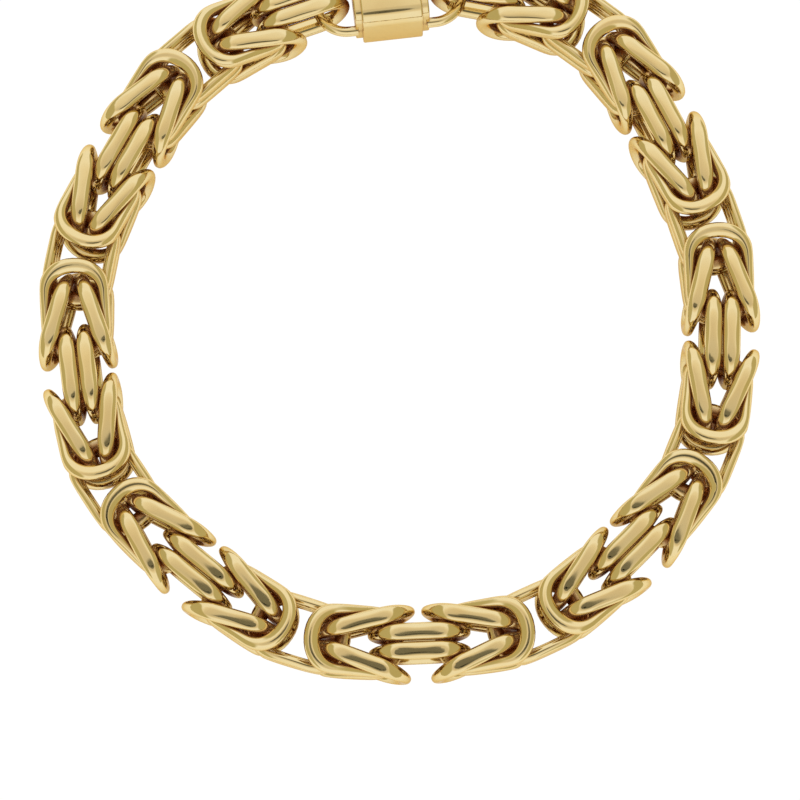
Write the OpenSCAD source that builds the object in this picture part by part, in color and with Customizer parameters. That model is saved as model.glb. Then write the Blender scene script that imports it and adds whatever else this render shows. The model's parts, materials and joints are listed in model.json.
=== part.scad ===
// Byzantine neck chain of heavy oval links, lying flat in a closed loop.
// Millimetres, Z up. The loop lies in the XY plane, its front lowest in Y.

/* [Links] */
// outer length of one link
link_len = 20.7; // [16:0.1:26]
// outer width of one link
link_wide = 14.6; // [12:0.1:18]
// wire thickness in the plane of the link, at its round ends
end_thick = 2.8; // [1.6:0.05:3.2]
// wire thickness in the plane of the link, at its long sides
side_thick = 2.4; // [1.4:0.05:2.8]
// width of the long sides across the plane of the link
side_wide = 3.7; // [2:0.05:4]
// width of the round ends across the plane of the link
end_wide = 2.3; // [1.4:0.05:3]
// how square the oval of the link is, 2 is a plain oval
oval_power = 3; // [2.2:0.1:3.6]
// how full the cross section of the wire is, 2 is a plain oval
wire_power = 1.9; // [1.5:0.1:2.2]

/* [Weave] */
// gap between the two links of a pair
pair_gap = 0.12; // [0.1:0.02:0.6]
// play of a knot link in the hole of the pair it hooks
hook_play = 1.25; // [0.6:0.05:1.8]
// gap kept where two knot links cross, besides what their rounding leaves
cross_gap = 0.1; // [0:0.05:0.5]
// gap between the hooked ends of two knot links
hook_gap = 0.45; // [0.3:0.05:1]
// part of each bend that is taken at the pair standing on edge
bend_share = 0.28; // [0.2:0.01:0.4]
// heading of the front pair of links
front_heading = 1.5; // [-5:0.5:5]

/* [Clasp] */
// radius of the wire of the end loops
loop_wire_r = 1.1; // [0.8:0.05:1.3]
// room beside the last pair of links inside the end loop
loop_room = 2.2; // [1.6:0.1:2.8]
// play of the end loop in the hole of the last pair
loop_play = 2.6; // [2:0.1:3.2]
// gap between the last link and the body of the clasp
body_gap = 1.2; // [0.8:0.1:2]
// width of the body of the clasp
body_wide = 15; // [13:0.5:18]
// rounding of the long edges of the body
body_round = 3; // [1:0.5:5]
// how far the collar at each end of the body stands in from its sides
collar_step = 1; // [0.5:0.1:2]
// length of each collar
collar_len = 1.5; // [0.8:0.1:3]

/* [Hidden] */
// route of the chain: the bend in degrees from one pair of links to the next,
// one row a step from the front outward, columns left and right
ROUTE = [
    [20, 22.5],
    [21.5, 20],
    [17, 22.5],
    [26, 20.5],
    [18, 20],
    [18.5, 9],
    [19.5, 26],
    [22.5, 26.5]
];
STEPS = len(ROUTE);

STATIONS = 12;
WIRE_SIDES = 6;

// part of the wire's thickness by which the two hooked ends of a knot pass each other
BACK_SHARE = 0.7;

// depth to which the end loops are let into the body of the clasp
LOOP_SEAT = 0.5;

// centre line of the wire, long and short half lengths
mid_long = (link_len - end_thick) / 2;
mid_short = (link_wide - side_thick) / 2;

// half sizes of the wire section turned to the diagonal, for the crossing links
diag = pow(
    pow(0.7071 / (side_thick / 2), wire_power) + pow(0.7071 / (side_wide / 2), wire_power),
    -1 / wire_power
);
pair_off = (side_wide + pair_gap) / 2;
knot_mid = mid_short - (2 * diag + cross_gap) * 0.7071;
hook_off = (end_wide + hook_gap) / 2;
open_off = 2 * knot_mid - hook_off;
lean = asin((open_off - hook_off) / (2 * mid_long));
knot_span = 2 * mid_long * cos(lean) + end_thick;

// how far out from a pair its hooked link starts, and how far back the crossing one does
hook_start = link_len / 2 - 2 * end_thick - hook_play;
back_step = BACK_SHARE * end_thick;
half_pitch = 2 * hook_start + knot_span - back_step;
hook_mid = hook_start + knot_span / 2;
open_mid = half_pitch - hook_mid;
pivot = hook_start + end_thick / 2 + hook_play / 2;

function signed_pow(v, e) = sign(v) * pow(abs(v), e);

// one point of a link that lies flat at the origin, long way in X
function link_point(i, k) =
    let (
        t = 360 * i / STATIONS,
        w = 360 * k / WIRE_SIDES,
        x = mid_long * signed_pow(cos(t), 2 / oval_power),
        y = mid_short * signed_pow(sin(t), 2 / oval_power),
        gx = signed_pow(x / mid_long, oval_power - 1) / mid_long,
        gy = signed_pow(y / mid_short, oval_power - 1) / mid_short,
        g = norm([gx, gy]),
        u = 1 - pow(x / mid_long, 2),
        half_thick = (end_thick + (side_thick - end_thick) * u) / 2,
        half_wide = (end_wide + (side_wide - end_wide) * u) / 2,
        r = half_thick * signed_pow(cos(w), 2 / wire_power),
        z = half_wide * signed_pow(sin(w), 2 / wire_power)
    )
    [x + gx / g * r, y + gy / g * r, z];

LINK = [for (i = [0 : STATIONS - 1]) for (k = [0 : WIRE_SIDES - 1]) link_point(i, k)];
LINK_POINTS = STATIONS * WIRE_SIDES;

function on_edge(p) = [p[0], -p[2], p[1]];
function turn_z(p, a) = [p[0] * cos(a) - p[1] * sin(a), p[0] * sin(a) + p[1] * cos(a), p[2]];
function turn_y(p, a) = [p[0] * cos(a) + p[2] * sin(a), p[1], p[2] * cos(a) - p[0] * sin(a)];

// pairs about their own centre
function edge_pair() =
    [for (s = [1, -1]) for (p = LINK) on_edge(p) + [0, s * pair_off, 0]];
function flat_pair() =
    [for (s = [1, -1]) for (p = LINK) p + [0, 0, s * pair_off]];

// the four links of a knot, X from the pivot at the pair on edge toward the flat pair
function knot() = concat(
    [for (s = [1, -1]) for (p = LINK)
        turn_y(p, -s * lean) + [hook_mid - pivot, 0, s * knot_mid]],
    [for (s = [1, -1]) for (p = LINK)
        turn_z(on_edge(p), -s * lean) + [open_mid - pivot, s * knot_mid, 0]]
);

function bend(side, i) = ROUTE[i - 1][side > 0 ? 1 : 0];
function ahead(a) = [cos(a), sin(a), 0];
function even(i) = i % 2 == 0;

// heading and place of pair i counted from the front, side is 1 right and -1 left
function heading(side, i) =
    i == 0 ? front_heading + (side > 0 ? 0 : 180)
    : heading(side, i - 1) + side * bend(side, i);
function knot_heading(side, i) =
    heading(side, i - 1) + side * bend(side, i) * (even(i) ? 1 - bend_share : bend_share);
function near_pivot(side, i) = spot(side, i - 1) + pivot * ahead(heading(side, i - 1));
function far_pivot(side, i) =
    near_pivot(side, i) + (half_pitch - 2 * pivot) * ahead(knot_heading(side, i));
function spot(side, i) =
    i == 0 ? [0, 0, 0] : far_pivot(side, i) + pivot * ahead(heading(side, i));

function placed(points, at, a) = [for (p = points) turn_z(p, a) + at];
function pair_at(side, i) =
    placed(even(i) ? edge_pair() : flat_pair(), spot(side, i), heading(side, i));
function knot_at(side, i) =
    even(i) ? placed(knot(), far_pivot(side, i), knot_heading(side, i) + 180)
    : placed(knot(), near_pivot(side, i), knot_heading(side, i));
function strand(side) =
    [for (i = [1 : STEPS]) for (p = concat(knot_at(side, i), pair_at(side, i))) p];

LEFT = strand(-1);
RIGHT = concat(pair_at(1, 0), strand(1));

// the clasp lies on the line between the hooked ends of its two loops
loop_r = pair_off + end_wide / 2 + loop_room + loop_wire_r;
loop_at = link_len / 2 - end_thick - loop_wire_r - loop_play;
right_end = spot(1, STEPS) + loop_at * ahead(heading(1, STEPS));
left_end = spot(-1, STEPS) + loop_at * ahead(heading(-1, STEPS));
clasp_line = right_end - left_end;
clasp_turn = atan2(clasp_line[1], clasp_line[0]);
clasp_mid = (right_end + left_end) / 2;
body_len = norm(clasp_line) - 2 * (link_len / 2 - loop_at + body_gap);

// middle of the whole loop, so that it is centred over the origin
ALL = concat(
    LEFT, RIGHT,
    placed([for (x = [-1, 1]) for (y = [-1, 1]) [x * body_len / 2, y * body_wide / 2, 0]],
        clasp_mid, clasp_turn)
);
low = [for (c = [0 : 2]) min([for (p = ALL) p[c]])];
high = [for (c = [0 : 2]) max([for (p = ALL) p[c]])];
centre = [(low[0] + high[0]) / 2, (low[1] + high[1]) / 2, low[2]];
body_high = -2 * low[2];

// closed skin of many links, each a ring of its own
module links(points) {
    count = len(points) / LINK_POINTS;
    faces = [
        for (n = [0 : count - 1])
            for (i = [0 : STATIONS - 1])
                for (k = [0 : WIRE_SIDES - 1])
                    let (
                        base = n * LINK_POINTS,
                        j = (i + 1) % STATIONS,
                        l = (k + 1) % WIRE_SIDES,
                        a = base + i * WIRE_SIDES + k,
                        b = base + i * WIRE_SIDES + l,
                        c = base + j * WIRE_SIDES + l,
                        d = base + j * WIRE_SIDES + k
                    )
                    for (f = [[a, b, c], [a, c, d]]) f
    ];
    translate(-centre) polyhedron(points = points, faces = faces);
}

// end loop, flat, its round end toward +X, its bars from the middle of the clasp
module end_loop() {
    reach = norm(clasp_line) / 2 - loop_r;
    start = body_len / 2 - LOOP_SEAT;
    translate([reach, 0, 0])
        rotate([0, 0, -90])
            rotate_extrude(angle = 180)
                translate([loop_r, 0])
                    circle(r = loop_wire_r, $fn = 32);
    for (s = [1, -1])
        translate([start, s * loop_r, 0])
            rotate([0, 90, 0])
                cylinder(r = loop_wire_r, h = reach - start, $fn = 32);
}

// block along X with rounded long edges
module round_bar(length, wide, high, r) {
    translate([-length / 2, 0, 0])
        rotate([90, 0, 90])
            linear_extrude(height = length) {
                square([wide - 2 * r, high], center = true);
                square([wide, high - 2 * r], center = true);
                for (y = [-1, 1])
                    for (z = [-1, 1])
                        translate([y * (wide / 2 - r), z * (high / 2 - r)])
                            circle(r = r, $fn = 48);
            }
}

module chain_left() {
    color([0.83, 0.69, 0.36]) links(LEFT);
}

module chain_right() {
    color([0.83, 0.69, 0.36]) links(RIGHT);
}

module clasp() {
    color([0.83, 0.69, 0.36])
        translate(clasp_mid - centre)
            rotate([0, 0, clasp_turn]) {
                round_bar(body_len - 2 * collar_len, body_wide, body_high, body_round);
                round_bar(body_len, body_wide - 2 * collar_step,
                    body_high - 2 * collar_step, body_round - collar_step / 2);
                end_loop();
                rotate([0, 0, 180]) end_loop();
            }
}

chain_left();
chain_right();
clasp();
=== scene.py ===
"""A byzantine neck chain of polished gold, closed in a loop and lying on a pale studio floor.

One oval link is modelled and copied to every place of the weave. The box clasp that
closes the loop is modelled beside it. Sizes are in millimetres until a piece is finished.
"""

import json
import logging
import math
import random
from dataclasses import dataclass, field, replace
from enum import Enum
from typing import Callable, Iterable

import bpy
from mathutils import Matrix, Quaternion, Vector

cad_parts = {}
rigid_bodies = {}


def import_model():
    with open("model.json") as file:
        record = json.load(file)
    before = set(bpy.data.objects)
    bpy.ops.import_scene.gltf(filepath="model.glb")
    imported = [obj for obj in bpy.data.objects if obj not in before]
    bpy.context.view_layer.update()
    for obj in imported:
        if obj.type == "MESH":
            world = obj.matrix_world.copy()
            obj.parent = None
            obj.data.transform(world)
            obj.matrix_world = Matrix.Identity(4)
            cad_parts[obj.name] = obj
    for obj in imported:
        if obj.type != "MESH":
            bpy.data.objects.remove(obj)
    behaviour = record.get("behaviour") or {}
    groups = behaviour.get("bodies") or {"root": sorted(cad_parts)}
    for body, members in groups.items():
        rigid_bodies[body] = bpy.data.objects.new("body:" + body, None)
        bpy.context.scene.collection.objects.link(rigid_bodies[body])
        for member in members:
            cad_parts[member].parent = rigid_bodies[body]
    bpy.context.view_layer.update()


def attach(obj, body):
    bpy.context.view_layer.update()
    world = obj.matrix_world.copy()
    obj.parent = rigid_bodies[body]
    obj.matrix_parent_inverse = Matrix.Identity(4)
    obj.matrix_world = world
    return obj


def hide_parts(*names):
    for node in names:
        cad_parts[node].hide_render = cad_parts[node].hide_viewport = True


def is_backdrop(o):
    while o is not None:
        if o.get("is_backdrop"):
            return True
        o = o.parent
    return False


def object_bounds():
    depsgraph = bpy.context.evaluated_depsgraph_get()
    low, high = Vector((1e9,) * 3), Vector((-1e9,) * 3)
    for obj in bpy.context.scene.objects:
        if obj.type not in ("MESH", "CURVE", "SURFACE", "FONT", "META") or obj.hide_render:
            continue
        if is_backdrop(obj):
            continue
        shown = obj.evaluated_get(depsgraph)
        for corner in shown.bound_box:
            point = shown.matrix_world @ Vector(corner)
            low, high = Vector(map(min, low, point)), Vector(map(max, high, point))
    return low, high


log = logging.getLogger("neck_chain")

MM = 0.001
HALF_TURN = math.pi
QUARTER_TURN = math.pi / 2
# the source rounds the sine of 45 degrees like this
DIAGONAL = 0.7071
# how near two places are to be the same, for a mesh of unit size and for one in millimetres
CLOSE = 1e-4
CLOSE_MM = 1e-3
# slack for the rounding of sums
HAIR = 1e-9


class Side(Enum):
    """The two strands that run from the front of the chain to the clasp."""

    LEFT = -1
    RIGHT = 1


class Lie(Enum):
    """How a pair of links lies in the chain."""

    ON_EDGE = 0
    FLAT = 1


def signed_pow(value: float, power: float) -> float:
    """Power of a number that keeps its sign.

    Args:
        value: the number.
        power: the exponent.

    Returns:
        The power of the absolute value, with the sign of the number.
    """
    return math.copysign(abs(value) ** power, value)


def deselect() -> None:
    """Deselects every object."""
    for item in bpy.context.scene.objects:
        item.select_set(False)


def only(*objects: bpy.types.Object) -> None:
    """Makes these objects the only selected ones, the first of them active.

    Args:
        objects: the objects to select.
    """
    deselect()
    for item in objects:
        item.select_set(True)
    bpy.context.view_layer.objects.active = objects[0]


def edit(piece: bpy.types.Object, mode: str = "VERT") -> None:
    """Enters edit mode on one piece alone.

    Args:
        piece: the mesh to edit.
        mode: VERT, EDGE or FACE, the kind of selection.
    """
    only(piece)
    bpy.ops.object.mode_set(mode="EDIT")
    bpy.ops.mesh.select_mode(type=mode)


def leave() -> None:
    """Goes back to object mode."""
    bpy.ops.object.mode_set(mode="OBJECT")


def pick(piece: bpy.types.Object, test: Callable[[Vector], bool], mode: str = "VERT") -> int:
    """Selects the vertices, edges or faces of a mesh by their place, in edit mode.

    Args:
        piece: the mesh, in edit mode.
        test: says of a place whether it is wanted. Edges and faces are tested by their middle.
        mode: VERT, EDGE or FACE.

    Returns:
        How many were selected.
    """
    bpy.ops.mesh.select_mode(type=mode)
    bpy.ops.mesh.select_all(action="DESELECT")
    bpy.ops.object.mode_set(mode="OBJECT")
    mesh, count = piece.data, 0
    if mode == "VERT":
        for vertex in mesh.vertices:
            vertex.select = test(vertex.co)
            count += vertex.select
    elif mode == "EDGE":
        for edge in mesh.edges:
            a, b = (mesh.vertices[i].co for i in edge.vertices)
            edge.select = test((a + b) / 2)
            count += edge.select
    else:
        for face in mesh.polygons:
            face.select = test(face.center)
            count += face.select
    bpy.ops.object.mode_set(mode="EDIT")
    return count


def turn(angle: float, axis: str, centre: Vector) -> None:
    """Turns the selection about a point by the right-hand rule, in edit mode.

    With no window the operator turns the other way, hence the minus.

    Args:
        angle: the turn in radians.
        axis: X, Y or Z.
        centre: the point it turns about.
    """
    bpy.ops.transform.rotate(
        value=-angle, orient_axis=axis, orient_type="GLOBAL", center_override=centre
    )


def resize(factors: tuple[float, float, float], centre: Vector) -> None:
    """Scales the selection about a point, in edit mode.

    Args:
        factors: the scale along X, Y and Z.
        centre: the point that stays.
    """
    bpy.ops.transform.resize(value=factors, orient_type="GLOBAL", center_override=centre)


def finish_modifier(piece: bpy.types.Object, name: str) -> None:
    """Applies one modifier to its mesh.

    Args:
        piece: the mesh.
        name: the modifier's name.
    """
    only(piece)
    bpy.ops.object.modifier_apply(modifier=name)


def settle(piece: bpy.types.Object, matrix: Matrix) -> None:
    """Puts a piece made in millimetres in its place in metres, in its mesh.

    Args:
        piece: the mesh, whose object sits at the origin.
        matrix: its place, in millimetres.
    """
    piece.data.transform(Matrix.Scale(MM, 4) @ matrix)
    piece.data.update()


def fuse(name: str, parts: list[bpy.types.Object]) -> bpy.types.Object:
    """Joins meshes into one piece.

    Args:
        name: the name of the piece.
        parts: the meshes, which are used up.

    Returns:
        The joined piece.
    """
    only(*parts)
    bpy.ops.object.join()
    piece = bpy.context.view_layer.objects.active
    piece.name = piece.data.name = name
    return piece


@dataclass(frozen=True)
class PolishedGold:
    """Bright polished yellow gold, a little wavy and finely scratched from wear, with painted
    shade in its crevices.

    A noise is its cycles a metre and its octaves. A dent is its middle seen from above, its
    radius and its depth, all in millimetres.
    """

    name: str = "polished_gold"
    bright: tuple[float, float, float] = (0.87, 0.735, 0.43)
    warm: tuple[float, float, float] = (0.865, 0.70, 0.375)
    rim: tuple[float, float, float] = (0.86, 0.68, 0.40)
    # painted shade: the dark red-brown that ambient occlusion lays into the crevices, where the
    # metal is also made less metallic
    crevice_shade: tuple[float, float, float] = (0.34, 0.09, 0.012)
    crevice_shade_metal: float = 0.42
    deep_roughness: float = 0.28
    crevice_shade_samples: int = 16
    crevice_shade_reach_mm: float = 4.5
    crevice_shade_from: tuple[float, float] = (0.22, 0.74)
    tone_noise: tuple[float, float] = (140.0, 3.0)
    tone_from: tuple[float, float] = (0.3, 0.7)
    roughness: tuple[float, float] = (0.06, 0.11)
    haze_noise: tuple[float, float] = (420.0, 4.0)
    haze_from: tuple[float, float] = (0.35, 0.75)
    shine: float = 0.1
    wave_noise: tuple[float, float] = (180.0, 1.0)
    wave_mm: float = 0.035
    scratch_turn: tuple[float, float, float] = (0.4, 0.2, 0.9)
    scratch_scale: tuple[float, float, float] = (4000.0, 260.0, 1500.0)
    scratch_mm: float = 0.0008
    dents: tuple[tuple[float, float, float, float], ...] = (
        (63.2, -38.9, 1.3, 0.28),
        (-24.0, -70.5, 1.3, 0.45),
    )

    def material(self) -> bpy.types.Material:
        """Builds the node material, for any piece of the chain.

        Returns:
            The material.
        """
        material = bpy.data.materials.new(self.name)
        material.use_nodes = True
        tree = material.node_tree
        shader = tree.nodes["Principled BSDF"]
        shader.inputs["Specular Tint"].default_value = (*self.rim, 1)
        shader.inputs["Specular IOR Level"].default_value = self.shine
        place = tree.nodes.new("ShaderNodeTexCoord").outputs["Object"]
        openness = self._openness(tree)
        tree.links.new(self._colour(tree, place, openness), shader.inputs["Base Color"])
        # painted shade: the crevices lose metal, so that their dark red-brown shows
        metal = tree.nodes.new("ShaderNodeMapRange")
        metal.inputs["To Min"].default_value = self.crevice_shade_metal
        tree.links.new(openness, metal.inputs["Value"])
        tree.links.new(metal.outputs["Result"], shader.inputs["Metallic"])
        tree.links.new(self._haze(tree, place, openness), shader.inputs["Roughness"])
        tree.links.new(self._relief(tree, place), shader.inputs["Normal"])
        return material

    def _openness(self, tree: bpy.types.NodeTree) -> bpy.types.NodeSocket:
        """Adds the measure of how open a place lies, by ambient occlusion: the mask of the painted
        shade in the crevices.

        Args:
            tree: the material's nodes.

        Returns:
            The socket of the measure, 0 deep in a crevice and 1 in the open.
        """
        hollow = tree.nodes.new("ShaderNodeAmbientOcclusion")
        hollow.samples = self.crevice_shade_samples
        hollow.inputs["Distance"].default_value = self.crevice_shade_reach_mm * MM
        rise = tree.nodes.new("ShaderNodeMapRange")
        rise.interpolation_type = "SMOOTHSTEP"
        rise.inputs["From Min"].default_value = self.crevice_shade_from[0]
        rise.inputs["From Max"].default_value = self.crevice_shade_from[1]
        tree.links.new(hollow.outputs["AO"], rise.inputs["Value"])
        return rise.outputs["Result"]

    def _colour(
        self,
        tree: bpy.types.NodeTree,
        place: bpy.types.NodeSocket,
        openness: bpy.types.NodeSocket,
    ) -> bpy.types.NodeSocket:
        """Adds the colour: gold of two near tones, and painted shade, dark red-brown, deep in the
        crevices.

        Args:
            tree: the material's nodes.
            place: the coordinates, in metres.
            openness: how open the place lies.

        Returns:
            The socket of the colour.
        """
        ramp = tree.nodes.new("ShaderNodeValToRGB")
        steps = ramp.color_ramp.elements
        for step, position, tone in zip(steps, self.tone_from, (self.warm, self.bright)):
            step.position = position
            step.color = (*tone, 1)
        tree.links.new(self._noise(tree, place, *self.tone_noise), ramp.inputs["Fac"])
        # painted shade: ambient occlusion mixes the crevices towards dark red-brown
        mix = tree.nodes.new("ShaderNodeMix")
        mix.data_type = "RGBA"
        mix.inputs["A"].default_value = (*self.crevice_shade, 1)
        tree.links.new(openness, mix.inputs["Factor"])
        tree.links.new(ramp.outputs["Color"], mix.inputs["B"])
        return mix.outputs["Result"]

    def _haze(
        self,
        tree: bpy.types.NodeTree,
        place: bpy.types.NodeSocket,
        openness: bpy.types.NodeSocket,
    ) -> bpy.types.NodeSocket:
        """Adds the roughness: uneven polish in the open, duller in the crevices.

        Args:
            tree: the material's nodes.
            place: the coordinates, in metres.
            openness: how open the place lies.

        Returns:
            The socket of the roughness.
        """
        haze = tree.nodes.new("ShaderNodeMapRange")
        haze.inputs["From Min"].default_value = self.haze_from[0]
        haze.inputs["From Max"].default_value = self.haze_from[1]
        haze.inputs["To Min"].default_value = self.roughness[0]
        haze.inputs["To Max"].default_value = self.roughness[1]
        tree.links.new(self._noise(tree, place, *self.haze_noise), haze.inputs["Value"])
        dull = tree.nodes.new("ShaderNodeMix")
        dull.inputs["A"].default_value = self.deep_roughness
        tree.links.new(openness, dull.inputs["Factor"])
        tree.links.new(haze.outputs["Result"], dull.inputs["B"])
        return dull.outputs["Result"]

    def _relief(
        self, tree: bpy.types.NodeTree, place: bpy.types.NodeSocket
    ) -> bpy.types.NodeSocket:
        """Adds the fine relief: waves of the polish, then hairlines, then the dents.

        Args:
            tree: the material's nodes.
            place: the coordinates, in metres.

        Returns:
            The socket of the normal.
        """
        heights = [
            (self._noise(tree, place, *self.wave_noise), self.wave_mm),
            (self._scratches(tree, place), self.scratch_mm),
        ]
        for x, y, reach, depth in self.dents:
            heights.append((self._dent(tree, place, (x, y), reach), depth))
        normal = None
        for height, depth in heights:
            bump = self._bump(tree, height, depth)
            if normal:
                tree.links.new(normal, bump.inputs["Normal"])
            normal = bump.outputs["Normal"]
        return normal

    @staticmethod
    def _dent(
        tree: bpy.types.NodeTree,
        place: bpy.types.NodeSocket,
        middle: tuple[float, float],
        reach: float,
    ) -> bpy.types.NodeSocket:
        """Adds the height of one small dent from wear.

        Args:
            tree: the material's nodes.
            place: the coordinates, in metres.
            middle: its middle seen from above, in millimetres.
            reach: its radius in millimetres.

        Returns:
            The socket of the height, 0 in its middle and 1 round it.
        """
        flat = tree.nodes.new("ShaderNodeVectorMath")
        flat.operation = "MULTIPLY"
        flat.inputs[1].default_value = (1, 1, 0)
        tree.links.new(place, flat.inputs[0])
        away = tree.nodes.new("ShaderNodeVectorMath")
        away.operation = "DISTANCE"
        away.inputs[1].default_value = (middle[0] * MM, middle[1] * MM, 0)
        tree.links.new(flat.outputs["Vector"], away.inputs[0])
        rise = tree.nodes.new("ShaderNodeMapRange")
        rise.interpolation_type = "SMOOTHSTEP"
        rise.inputs["From Max"].default_value = reach * MM
        tree.links.new(away.outputs["Value"], rise.inputs["Value"])
        return rise.outputs["Result"]

    @staticmethod
    def _noise(
        tree: bpy.types.NodeTree, place: bpy.types.NodeSocket, scale: float, detail: float
    ) -> bpy.types.NodeSocket:
        """Adds a noise texture.

        Args:
            tree: the material's nodes.
            place: the coordinates.
            scale: cycles over one unit of them.
            detail: octaves.

        Returns:
            The socket of its value.
        """
        noise = tree.nodes.new("ShaderNodeTexNoise")
        noise.inputs["Scale"].default_value = scale
        noise.inputs["Detail"].default_value = detail
        tree.links.new(place, noise.inputs["Vector"])
        return noise.outputs["Fac"]

    def _scratches(
        self, tree: bpy.types.NodeTree, place: bpy.types.NodeSocket
    ) -> bpy.types.NodeSocket:
        """Adds fine hairlines that run across the metal.

        Args:
            tree: the material's nodes.
            place: the coordinates, in metres.

        Returns:
            The socket of their height.
        """
        stretch = tree.nodes.new("ShaderNodeMapping")
        stretch.inputs["Rotation"].default_value = self.scratch_turn
        stretch.inputs["Scale"].default_value = self.scratch_scale
        tree.links.new(place, stretch.inputs["Vector"])
        return self._noise(tree, stretch.outputs["Vector"], 1.0, 2.0)

    @staticmethod
    def _bump(
        tree: bpy.types.NodeTree, height: bpy.types.NodeSocket, depth_mm: float
    ) -> bpy.types.ShaderNode:
        """Adds a bump.

        Args:
            tree: the material's nodes.
            height: the socket of the height, 0 to 1.
            depth_mm: how deep the full height is.

        Returns:
            The bump node.
        """
        bump = tree.nodes.new("ShaderNodeBump")
        bump.inputs["Strength"].default_value = 1.0
        bump.inputs["Distance"].default_value = depth_mm * MM
        tree.links.new(height, bump.inputs["Height"])
        return bump


@dataclass(frozen=True)
class OvalLink:
    """One oval link of the chain, in millimetres.

    The visible wire is fuller than that of the source at the round ends, by end_fuller, and a
    little on the long sides, which are then pressed back to nearly the same size. width_power
    says how far along the long sides keep their width: more is farther.
    """

    length: float = 20.7
    width: float = 14.6
    end_thick: float = 2.8
    side_thick: float = 2.4
    side_wide: float = 3.7
    end_wide: float = 2.3
    end_fuller: float = 0.4
    end_further: float = 0.05
    side_fuller: float = 0.05
    straight: float = 3.3
    width_power: float = 2.0
    oval_power: float = 2.2
    outer_power: float = 2.2
    stations: int = 17
    closer: float = 0.5
    section_sides: int = 28
    fine_steps: tuple[int, int] = (100, 800)
    merge: float = 0.005
    pressed_by: float = 0.035
    pressed_crown: float = 75.0
    pressed_edge: float = 0.045
    pressed_keep: float = 0.10

    @property
    def mid_long(self) -> float:
        """Half length of the wire's centre line."""
        return (self.length - self.end_thick) / 2

    @property
    def mid_short(self) -> float:
        """Half width of the wire's centre line."""
        return (self.width - self.side_thick) / 2

    @property
    def end_off(self) -> float:
        """Distance of the visible round ends' centre line from the middle of the link."""
        return self.mid_long + self.end_further

    @property
    def bar_off(self) -> float:
        """Distance of the visible long sides' centre line from the middle of the link."""
        return self.mid_short + self.side_fuller / 2

    def _centre(self, t: float) -> Vector:
        """Point of the wire's centre line on its round end, at a parameter of the oval."""
        reach = self.end_off - self.straight
        return Vector((
            self.straight + reach * signed_pow(math.cos(t), 2 / self.oval_power),
            self.bar_off * signed_pow(math.sin(t), 2 / self.oval_power),
            0.0,
        ))

    def _route(self) -> list[Vector]:
        """Points of a quarter of the centre line, closer where the pressed faces end.

        Returns:
            The points from the middle of a long side to the tip of a round end.
        """
        bar, bow = self.fine_steps
        points = [Vector((self.straight * i / bar, self.bar_off, 0.0)) for i in range(bar)]
        points += [self._centre(QUARTER_TURN * (1 - i / bow)) for i in range(bow)]
        points.append(Vector((self.end_off, 0.0, 0.0)))
        run = [0.0]
        for a, b in zip(points, points[1:]):
            run.append(run[-1] + (b - a).length)
        route, k = [], 0
        for i in range(self.stations + 1):
            share = i / self.stations
            share += self.closer * math.sin(2 * HALF_TURN * share) / (2 * HALF_TURN)
            goal = run[-1] * share
            while k < len(points) - 1 and run[k] < goal - HAIR:
                k += 1
            route.append(points[k])
        return route

    def _outward(self, point: Vector) -> float:
        """Turn about Z that takes +Y to the outward direction at a point of the centre line."""
        power, reach = self.oval_power - 1, self.end_off - self.straight
        gx = (max(0.0, point.x - self.straight) / reach) ** power / reach
        gy = (point.y / self.bar_off) ** power / self.bar_off
        return -math.atan2(gx, gy)

    def _section(self, point: Vector) -> tuple[float, float]:
        """Half thickness and half width of the wire at a point of the centre line."""
        run = point.x / self.end_off
        end, side = self.end_thick + self.end_fuller, self.side_thick + self.side_fuller
        return (
            (side + (end - side) * run ** 2) / 2,
            (self.side_wide + (self.end_wide - self.side_wide) * run ** self.width_power) / 2,
        )

    def _first_section(self) -> bpy.types.Object:
        """Makes the wire's section across the long side, one unit in radius, fuller outside.

        Returns:
            A ring in the YZ plane, in edit mode and selected.
        """
        deselect()
        bpy.ops.mesh.primitive_circle_add(
            vertices=self.section_sides, radius=1.0, fill_type="NOTHING",
            rotation=(0.0, QUARTER_TURN, 0.0), enter_editmode=False,
        )
        ring = bpy.context.view_layer.objects.active
        bpy.ops.object.transform_apply(location=True, rotation=True, scale=True)
        edit(ring)
        step = 2 * HALF_TURN / self.section_sides
        power = 2 / self.outer_power
        for k in range(1, self.section_sides // 4):
            rise, reach = math.cos(k * step), math.sin(k * step)
            pick(ring, lambda p, y=rise: abs(p.y - y) < CLOSE)
            resize((1.0, rise ** power / rise, reach ** power / reach), Vector((0, 0, 0)))
        bpy.ops.mesh.select_all(action="SELECT")
        return ring

    def build(self) -> bpy.types.Object:
        """Models the link: a quarter is extruded along the oval, then mirrored twice.

        Returns:
            The link in millimetres, lying flat at the origin with its long way in X.
        """
        link = self._first_section()
        route = self._route()
        thick, wide = self._section(route[0])
        resize((1.0, thick, wide), Vector((0, 0, 0)))
        bpy.ops.transform.translate(value=route[0])
        angle = 0.0
        for last, point in zip(route, route[1:]):
            bpy.ops.mesh.extrude_region_move(
                TRANSFORM_OT_translate={"value": point - last, "orient_type": "GLOBAL"}
            )
            turn(-angle, "Z", point)
            new_thick, new_wide = self._section(point)
            resize((1.0, new_thick / thick, new_wide / wide), point)
            thick, wide = new_thick, new_wide
            angle = self._outward(point)
            turn(angle, "Z", point)
        leave()
        mirror = link.modifiers.new("quarters", "MIRROR")
        mirror.use_axis = (True, True, False)
        mirror.use_mirror_merge = True
        mirror.merge_threshold = 2 * self.merge
        finish_modifier(link, mirror.name)
        edit(link)
        bpy.ops.mesh.select_all(action="SELECT")
        bpy.ops.mesh.remove_doubles(threshold=self.merge)
        bpy.ops.mesh.normals_make_consistent(inside=False)
        leave()
        only(link)
        bpy.ops.object.shade_smooth()
        link.name = link.data.name = "oval_link"
        return link

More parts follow.
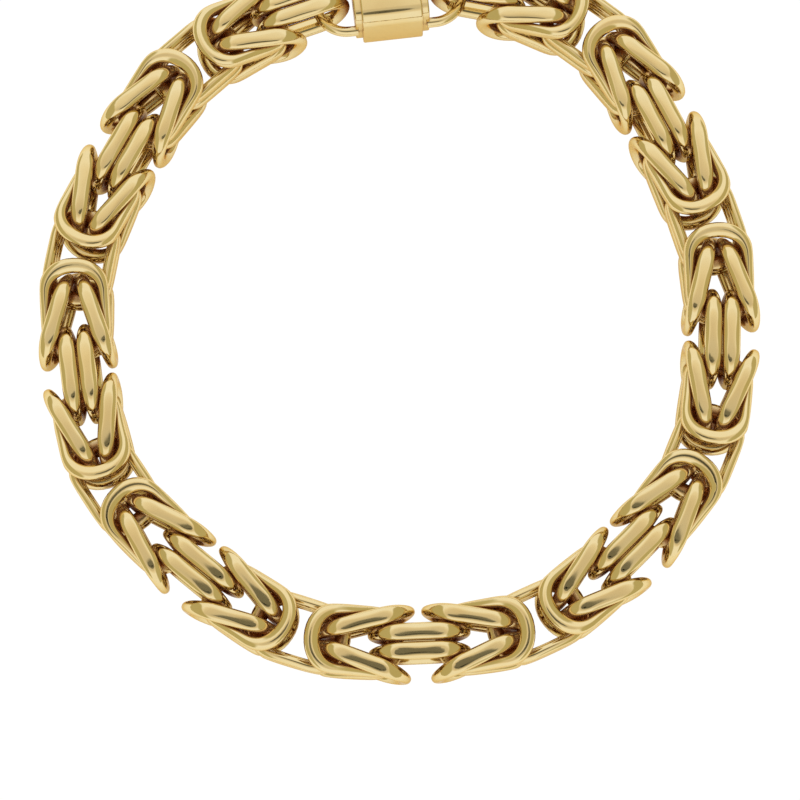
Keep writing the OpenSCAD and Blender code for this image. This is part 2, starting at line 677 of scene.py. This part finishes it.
    def press(self, link: bpy.types.Object, along: float = 0.0, across: float = 0.0) -> None:
        """Presses a nearly flat, almond-shaped face into the outside of both long sides.

        Args:
            link: the link, in millimetres.
            along: slope of the faces along the link.
            across: slope of the faces across the wire.
        """
        for vertex in link.data.vertices:
            x, y, z = vertex.co
            if abs(y) < self.mid_short:
                continue
            face = self.width / 2 - self.pressed_by - x * x / (2 * self.pressed_crown)
            face += along * x + across * z
            over = (abs(y) - face) / self.pressed_edge
            cut = self.pressed_edge * math.log1p(math.exp(over))
            vertex.co.y = math.copysign(abs(y) - (1 - self.pressed_keep) * cut, y)


@dataclass(frozen=True)
class Weave:
    """How the links sit in each other, in millimetres and degrees."""

    link: OvalLink = field(default_factory=OvalLink)
    edge_width_power: float = 4.0
    wire_power: float = 1.9
    pair_gap: float = 0.12
    hook_play: float = 1.25
    cross_gap: float = 0.1
    hook_gap: float = 0.45
    back_share: float = 0.7
    bend_share: float = 0.28
    front_heading: float = 1.5
    middle: tuple[float, float, float] = (-3.03924, 69.35, -7.86572)
    left: tuple[float, ...] = (20, 21.5, 17, 26, 18, 18.5, 19.5, 22.5)
    right: tuple[float, ...] = (22.5, 20, 22.5, 20.5, 20, 9, 26, 26.5)

    @property
    def pair_off(self) -> float:
        """Distance of each link of a pair from the middle of the pair."""
        return (self.link.side_wide + self.pair_gap) / 2

    @property
    def knot_mid(self) -> float:
        """Distance of a knot link's middle from the axis of the knot."""
        half = (DIAGONAL / (self.link.side_thick / 2)) ** self.wire_power
        half += (DIAGONAL / (self.link.side_wide / 2)) ** self.wire_power
        reach = half ** (-1 / self.wire_power)
        return self.link.mid_short - (2 * reach + self.cross_gap) * DIAGONAL

    @property
    def lean(self) -> float:
        """How far a knot link leans from the axis of the knot, in radians."""
        hook_off = (self.link.end_wide + self.hook_gap) / 2
        open_off = 2 * self.knot_mid - hook_off
        return math.asin((open_off - hook_off) / (2 * self.link.mid_long))

    @property
    def hook_start(self) -> float:
        """Distance from the middle of a pair to the near end of its hooked link."""
        return self.link.length / 2 - 2 * self.link.end_thick - self.hook_play

    @property
    def knot_span(self) -> float:
        """Length of a leaning knot link along the knot."""
        return 2 * self.link.mid_long * math.cos(self.lean) + self.link.end_thick

    @property
    def half_pitch(self) -> float:
        """Distance from one pair of links to the next."""
        return 2 * self.hook_start + self.knot_span - self.back_share * self.link.end_thick

    @property
    def pivot(self) -> float:
        """Distance from the middle of a pair to the point where the chain bends."""
        return self.hook_start + self.link.end_thick / 2 + self.hook_play / 2

    @staticmethod
    def _ahead(heading: float) -> Vector:
        """Unit vector along a heading in degrees."""
        return Vector((math.cos(math.radians(heading)), math.sin(math.radians(heading)), 0))

    @staticmethod
    def _placed(spot: Vector, heading: float) -> Matrix:
        """Matrix of a spot and a heading in degrees."""
        return Matrix.Translation(spot) @ Matrix.Rotation(math.radians(heading), 4, "Z")

    def shape(self, lie: Lie) -> OvalLink:
        """Shape of a link: one that stands on edge keeps its width nearly to its ends.

        Args:
            lie: how the link lies in the chain.

        Returns:
            The link to model.
        """
        if lie is Lie.ON_EDGE:
            return replace(self.link, width_power=self.edge_width_power)
        return self.link

    def pair(self, lie: Lie) -> list[Matrix]:
        """Places of the two links of a pair, about their own middle.

        Args:
            lie: whether the pair stands on edge or lies flat.

        Returns:
            Two matrices.
        """
        if lie is Lie.ON_EDGE:
            up = Matrix.Rotation(QUARTER_TURN, 4, "X")
            return [Matrix.Translation((0, s * self.pair_off, 0)) @ up for s in (1, -1)]
        return [Matrix.Translation((0, 0, s * self.pair_off)) for s in (1, -1)]

    def knot(self) -> list[tuple[Lie, Matrix]]:
        """Places of the four links of a knot, from the bend at the pair on edge.

        Returns:
            Two hooked links that lie flat, then two crossing links that stand on edge.
        """
        hook_x = self.hook_start + self.knot_span / 2
        cross_x = self.half_pitch - hook_x
        places = []
        for s in (1, -1):
            lean = Matrix.Rotation(-s * self.lean, 4, "Y")
            at = Matrix.Translation((hook_x - self.pivot, 0, s * self.knot_mid))
            places.append((Lie.FLAT, at @ lean))
        for s in (1, -1):
            lean = Matrix.Rotation(-s * self.lean, 4, "Z")
            up = Matrix.Rotation(QUARTER_TURN, 4, "X")
            at = Matrix.Translation((cross_x - self.pivot, s * self.knot_mid, 0))
            places.append((Lie.ON_EDGE, at @ lean @ up))
        return places

    def strand(self, side: Side) -> tuple[list[tuple[Lie, Matrix]], Matrix]:
        """Places of all the links of a strand, and of its last pair.

        Args:
            side: which strand. The right one also holds the pair at the front.

        Returns:
            How each link lies and its matrix in the frame of the whole chain, and the
            matrix of the last pair.
        """
        bends = self.right if side is Side.RIGHT else self.left
        heading = self.front_heading + (0 if side is Side.RIGHT else 180)
        spot = -Vector(self.middle)
        places = []
        if side is Side.RIGHT:
            here = self._placed(spot, heading)
            places += [(Lie.ON_EDGE, here @ m) for m in self.pair(Lie.ON_EDGE)]
        for i, bend in enumerate(bends, start=1):
            lie = Lie.FLAT if i % 2 else Lie.ON_EDGE
            share = self.bend_share if lie is Lie.FLAT else 1 - self.bend_share
            knot_heading = heading + side.value * bend * share
            near = spot + self.pivot * self._ahead(heading)
            far = near + (self.half_pitch - 2 * self.pivot) * self._ahead(knot_heading)
            heading += side.value * bend
            spot = far + self.pivot * self._ahead(heading)
            knot = (
                self._placed(near, knot_heading)
                if lie is Lie.FLAT
                else self._placed(far, knot_heading + 180)
            )
            places += [(way, knot @ m) for way, m in self.knot()]
            here = self._placed(spot, heading)
            places += [(lie, here @ m) for m in self.pair(lie)]
        return places, self._placed(spot, heading)


@dataclass
class Strand:
    """One strand of woven links, from the front of the chain to the clasp."""

    side: Side
    weave: Weave
    gold: bpy.types.Material
    node: str
    seed: int = 3312
    slope_along: float = 0.02
    slope_across: float = 0.035

    def build(self, links: dict[Lie, bpy.types.Object]) -> bpy.types.Object:
        """Copies the links to every place of the strand and dresses the strand.

        The pressed faces of each copy slope a little in their own way.

        Args:
            links: the modelled link for each way to lie, in millimetres.

        Returns:
            The strand as one piece.
        """
        copies = []
        chance = random.Random(self.seed + self.side.value)
        for lie, place in self.weave.strand(self.side)[0]:
            copy = bpy.data.objects.new("link", links[lie].data.copy())
            bpy.context.scene.collection.objects.link(copy)
            along = chance.uniform(-self.slope_along, self.slope_along)
            across = chance.uniform(-self.slope_across, self.slope_across)
            self.weave.link.press(copy, along, across)
            settle(copy, place)
            copies.append(copy)
        piece = fuse(f"{self.side.name.lower()}_links", copies)
        piece.data.materials.clear()
        piece.data.materials.append(self.gold)
        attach(piece, "root")
        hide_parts(self.node)
        log.info("%s: %d links, %d faces", piece.name, len(copies), len(piece.data.polygons))
        return piece


@dataclass
class BoxClasp:
    """The plain box clasp that closes the loop, with an end loop for each strand.

    Its sizes are in millimetres and repeat those of the source.
    """

    weave: Weave
    gold: bpy.types.Material
    wire_r: float = 1.1
    room: float = 2.2
    play: float = 2.6
    body_gap: float = 1.2
    wide: float = 15.0
    rounding: float = 3.0
    collar_step: float = 1.0
    collar_len: float = 1.5
    loop_seat: float = 0.5
    long_segments: int = 10
    end_rounding: float = 0.35
    end_segments: int = 4
    wire_sides: int = 24
    loop_steps: int = 36
    sharp_degrees: float = 40.0

    def _loop_radius(self) -> float:
        """Radius of an end loop, to the middle of its wire."""
        return self.weave.pair_off + self.weave.link.end_wide / 2 + self.room + self.wire_r

    def _frame(self) -> tuple[Matrix, float, float]:
        """Finds where the clasp lies between the two strands.

        Returns:
            The clasp's place, the distance between the hooked ends of its loops,
            and the length of its body.
        """
        link = self.weave.link
        loop_at = link.length / 2 - link.end_thick - self.wire_r - self.play
        ends = []
        for side in (Side.LEFT, Side.RIGHT):
            last = self.weave.strand(side)[1]
            ends.append(last @ Vector((loop_at, 0, 0)))
        line = ends[1] - ends[0]
        body = line.length - 2 * (link.length / 2 - loop_at + self.body_gap)
        place = Matrix.Translation((ends[0] + ends[1]) / 2) @ Matrix.Rotation(
            math.atan2(line.y, line.x), 4, "Z"
        )
        return place, line.length, body

    def _block(self, length: float, wide: float, high: float, rounding: float) -> bpy.types.Object:
        """Makes a block along X with rounded edges.

        Args:
            length: its size in X.
            wide: its size in Y.
            high: its size in Z.
            rounding: radius of its long edges.

        Returns:
            The block, in millimetres.
        """
        deselect()
        bpy.ops.mesh.primitive_cube_add(size=1.0)
        block = bpy.context.view_layer.objects.active
        edit(block, "EDGE")
        bpy.ops.mesh.select_all(action="SELECT")
        resize((length, wide, high), Vector((0, 0, 0)))
        pick(block, lambda p: abs(p.x) < CLOSE, "EDGE")
        bpy.ops.mesh.bevel(
            offset=rounding, segments=self.long_segments, profile=0.5, affect="EDGES"
        )
        pick(block, lambda p: abs(abs(p.x) - length / 2) < CLOSE, "EDGE")
        bpy.ops.mesh.bevel(
            offset=self.end_rounding, segments=self.end_segments, profile=0.5, affect="EDGES"
        )
        leave()
        return block

    def _end_loop(self, reach: float, start: float) -> bpy.types.Object:
        """Makes one end loop: a half ring at +X with two bars back into the body.

        Args:
            reach: distance from the clasp's middle to the centre of the half ring.
            start: where the bars begin in the body.

        Returns:
            The loop, in millimetres.
        """
        radius = self._loop_radius()
        deselect()
        bpy.ops.mesh.primitive_circle_add(
            vertices=self.wire_sides, radius=self.wire_r, fill_type="NGON",
            location=(reach, -radius, 0), rotation=(0, QUARTER_TURN, 0),
        )
        loop = bpy.context.view_layer.objects.active
        bpy.ops.object.transform_apply(location=True, rotation=True, scale=True)
        edit(loop)
        bpy.ops.mesh.select_all(action="SELECT")
        # spin turns the left-hand way, so a minus takes the half ring out past +X
        bpy.ops.mesh.spin(
            steps=self.loop_steps, angle=-HALF_TURN, center=(reach, 0, 0), axis=(0, 0, 1),
            dupli=False,
        )
        for side in (-1, 1):
            pick(
                loop,
                lambda p, s=side: abs(p.x - reach) < CLOSE_MM and p.y * s > 0,
                "FACE",
            )
            bpy.ops.mesh.extrude_region_move(
                TRANSFORM_OT_translate={"value": (start - reach, 0, 0), "orient_type": "GLOBAL"}
            )
        bpy.ops.mesh.select_all(action="SELECT")
        bpy.ops.mesh.remove_doubles(threshold=CLOSE_MM)
        bpy.ops.mesh.normals_make_consistent(inside=False)
        leave()
        return loop

    def build(self) -> bpy.types.Object:
        """Models the clasp and dresses it.

        Returns:
            The clasp as one piece.
        """
        place, line, body = self._frame()
        high = -2 * self.weave.middle[2]
        parts = [
            self._block(body - 2 * self.collar_len, self.wide, high, self.rounding),
            self._block(
                body,
                self.wide - 2 * self.collar_step,
                high - 2 * self.collar_step,
                self.rounding - self.collar_step / 2,
            ),
        ]
        reach = line / 2 - self._loop_radius()
        for angle in (0.0, HALF_TURN):
            loop = self._end_loop(reach, body / 2 - self.loop_seat)
            loop.data.transform(Matrix.Rotation(angle, 4, "Z"))
            parts.append(loop)
        for part in parts:
            only(part)
            bpy.ops.object.shade_smooth_by_angle(angle=math.radians(self.sharp_degrees))
        piece = fuse("box_clasp", parts)
        settle(piece, place)
        piece.data.materials.clear()
        piece.data.materials.append(self.gold)
        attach(piece, "root")
        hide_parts("clasp")
        log.info("%s: %d faces", piece.name, len(piece.data.polygons))
        return piece


@dataclass(frozen=True)
class Shade:
    """A round dark card over the chain, such as the front of the camera, seen in the metal.

    reach is its half size in X and Y, soft the part of its radius over which it fades.
    """

    name: str
    place: tuple[float, float, float]
    reach: tuple[float, float]
    tone: tuple[float, float, float]
    soft: float = 0.2
    corners: int = 64

    def build(self) -> bpy.types.Object:
        """Hangs the card.

        Returns:
            The card, seen only in reflections.
        """
        deselect()
        bpy.ops.mesh.primitive_circle_add(
            vertices=self.corners, radius=1.0, fill_type="NGON", location=self.place
        )
        card = bpy.context.view_layer.objects.active
        card.scale = (*self.reach, 1.0)
        card.name = card.data.name = self.name
        paint = bpy.data.materials.new(self.name)
        paint.use_nodes = True
        tree = paint.node_tree
        tree.nodes.remove(tree.nodes["Principled BSDF"])
        place = tree.nodes.new("ShaderNodeTexCoord").outputs["Object"]
        reach = tree.nodes.new("ShaderNodeVectorMath")
        reach.operation = "LENGTH"
        tree.links.new(place, reach.inputs[0])
        fade = tree.nodes.new("ShaderNodeMapRange")
        fade.interpolation_type = "SMOOTHSTEP"
        fade.inputs["From Min"].default_value = 1 - self.soft
        tree.links.new(reach.outputs["Value"], fade.inputs["Value"])
        glow = tree.nodes.new("ShaderNodeEmission")
        glow.inputs["Color"].default_value = (*self.tone, 1)
        clear = tree.nodes.new("ShaderNodeBsdfTransparent")
        mix = tree.nodes.new("ShaderNodeMixShader")
        tree.links.new(fade.outputs["Result"], mix.inputs["Fac"])
        tree.links.new(glow.outputs["Emission"], mix.inputs[1])
        tree.links.new(clear.outputs["BSDF"], mix.inputs[2])
        tree.links.new(mix.outputs["Shader"], tree.nodes["Material Output"].inputs["Surface"])
        card.data.materials.append(paint)
        card.visible_camera = False
        card.visible_shadow = False
        card.visible_diffuse = False
        card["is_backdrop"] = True
        return card


@dataclass
class Studio:
    """The pale floor, the soft light of a long tent and the camera.

    Places are in metres and angles in degrees. A tone is how far up the tent it starts, along
    lean, and its colour. The floor that the camera sees is apart from the one in the metal;
    each has its own brightness and the share of light that it throws back.
    """

    floor_z: float
    aim: tuple[float, float, float] = (-0.00023, -0.01838, 0.00766)
    elevation: float = 79.45
    azimuth: float = -0.72
    roll: float = -0.11
    distance: float = 0.5696
    lens: float = 122.7
    sensor: float = 36.0
    clip: tuple[float, float] = (0.01, 20.0)
    seen_floor: tuple[float, float] = (0.93, 0.10)
    mirrored_floor: tuple[float, float] = (0.42, 0.80)
    floor_size: float = 6.0
    floor_warmth: float = 0.98
    floor_roughness: float = 0.9
    sides: tuple[float, float, float] = (0.53, 0.47, 0.25)
    strip: tuple[float, float] = (0.36, 0.50)
    lean: tuple[float, float, float] = (0.0, -0.17, 0.985)
    tones: tuple[tuple[float, tuple[float, float, float]], ...] = (
        (0.80, (0.98, 0.96, 0.90)),
        (0.89, (0.88, 0.80, 0.64)),
        (0.935, (0.74, 0.65, 0.50)),
        (0.98, (0.66, 0.60, 0.48)),
    )
    shades: tuple[Shade, ...] = (
        Shade("hood", (0.0, -0.117, 0.60), (0.149, 0.148), (0.185, 0.175, 0.135)),
        Shade("hood_edge", (0.0, -0.119, 0.595), (0.19, 0.013), (0.015, 0.015, 0.01), 0.5),
        Shade("lens_front", (0.0, -0.119, 0.59), (0.032, 0.032), (0.008, 0.008, 0.006)),
    )

    def build(self) -> None:
        """Builds the studio round the chain."""
        self._floor("floor", *self.seen_floor, seen=True)
        self._floor("floor_bounce", *self.mirrored_floor, seen=False)
        self._world()
        for shade in self.shades:
            shade.build()
        self._camera()

    def _floor(self, name: str, glow: float, albedo: float, seen: bool) -> None:
        """Lays the pale floor, or the same floor as the metal reflects it.

        Args:
            name: the floor's name.
            glow: its own brightness.
            albedo: how much light it throws back.
            seen: whether the camera sees it; the reflections see the other.
        """
        deselect()
        bpy.ops.mesh.primitive_plane_add(size=self.floor_size, location=(0, 0, self.floor_z))
        floor = bpy.context.view_layer.objects.active
        floor.name = floor.data.name = name
        paint = bpy.data.materials.new(name)
        paint.use_nodes = True
        shader = paint.node_tree.nodes["Principled BSDF"]
        blue = albedo * self.floor_warmth
        shader.inputs["Base Color"].default_value = (albedo, albedo, blue, 1)
        shader.inputs["Roughness"].default_value = self.floor_roughness
        shader.inputs["Specular IOR Level"].default_value = 0.0
        shader.inputs["Emission Color"].default_value = (1, 1, 1, 1)
        shader.inputs["Emission Strength"].default_value = glow
        floor.data.materials.append(paint)
        floor.visible_camera = seen
        floor.visible_glossy = floor.visible_diffuse = floor.visible_shadow = not seen
        floor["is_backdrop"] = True

    def _world(self) -> None:
        """Lights the room: a long bright strip from north to south, dimmer east and west."""
        world = bpy.data.worlds.new("room")
        world.use_nodes = True
        tree = world.node_tree
        way = tree.nodes.new("ShaderNodeTexCoord").outputs["Generated"]
        split = tree.nodes.new("ShaderNodeSeparateXYZ")
        tree.links.new(way, split.inputs["Vector"])
        off = tree.nodes.new("ShaderNodeMath")
        off.operation = "ABSOLUTE"
        tree.links.new(split.outputs["X"], off.inputs[0])
        edge = tree.nodes.new("ShaderNodeMapRange")
        edge.interpolation_type = "SMOOTHSTEP"
        edge.inputs["From Min"].default_value = self.strip[0]
        edge.inputs["From Max"].default_value = self.strip[1]
        tree.links.new(off.outputs["Value"], edge.inputs["Value"])
        dot = tree.nodes.new("ShaderNodeVectorMath")
        dot.operation = "DOT_PRODUCT"
        dot.inputs[1].default_value = self.lean
        tree.links.new(way, dot.inputs[0])
        ramp = tree.nodes.new("ShaderNodeValToRGB")
        steps = ramp.color_ramp.elements
        while len(steps) < len(self.tones):
            steps.new(0.5)
        for step, (position, tone) in zip(steps, self.tones):
            step.position = position
            step.color = (*tone, 1)
        tree.links.new(dot.outputs["Value"], ramp.inputs["Fac"])
        mix = tree.nodes.new("ShaderNodeMix")
        mix.data_type = "RGBA"
        tree.links.new(edge.outputs["Result"], mix.inputs["Factor"])
        tree.links.new(ramp.outputs["Color"], mix.inputs["A"])
        mix.inputs["B"].default_value = (*self.sides, 1)
        tree.links.new(mix.outputs["Result"], tree.nodes["Background"].inputs["Color"])
        bpy.context.scene.world = world

    def _camera_place(self) -> Vector:
        """Where the camera stands, in metres."""
        tilt, side = math.radians(self.elevation), math.radians(self.azimuth)
        way = Vector((
            math.sin(side) * math.cos(tilt), -math.cos(side) * math.cos(tilt), math.sin(tilt)
        ))
        return Vector(self.aim) + self.distance * way

    def _camera(self) -> None:
        """Stands the camera at the photograph's angle."""
        data = bpy.data.cameras.new("camera")
        data.lens = self.lens
        data.sensor_width = self.sensor
        data.clip_start, data.clip_end = self.clip
        camera = bpy.data.objects.new("camera", data)
        bpy.context.scene.collection.objects.link(camera)
        camera.location = self._camera_place()
        camera.rotation_mode = "QUATERNION"
        way = Vector(self.aim) - camera.location
        roll = Quaternion((0, 0, 1), math.radians(self.roll))
        camera.rotation_quaternion = way.to_track_quat("-Z", "Y") @ roll
        bpy.context.scene.camera = camera


def main() -> None:
    """Builds the chain, its clasp and the studio, and reports each piece."""
    logging.basicConfig(level=logging.INFO, format="%(name)s: %(message)s")
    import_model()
    gold = PolishedGold().material()
    weave = Weave()
    links = {lie: weave.shape(lie).build() for lie in Lie}
    for side, node in ((Side.LEFT, "chain_left"), (Side.RIGHT, "chain_right")):
        Strand(side, weave, gold, node).build(links)
    for link in links.values():
        bpy.data.objects.remove(link)
    BoxClasp(weave, gold).build()
    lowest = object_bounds()[0].z
    Studio(floor_z=lowest).build()
    bpy.context.scene.view_settings.view_transform = "Standard"


if __name__ == "__main__":
    main()
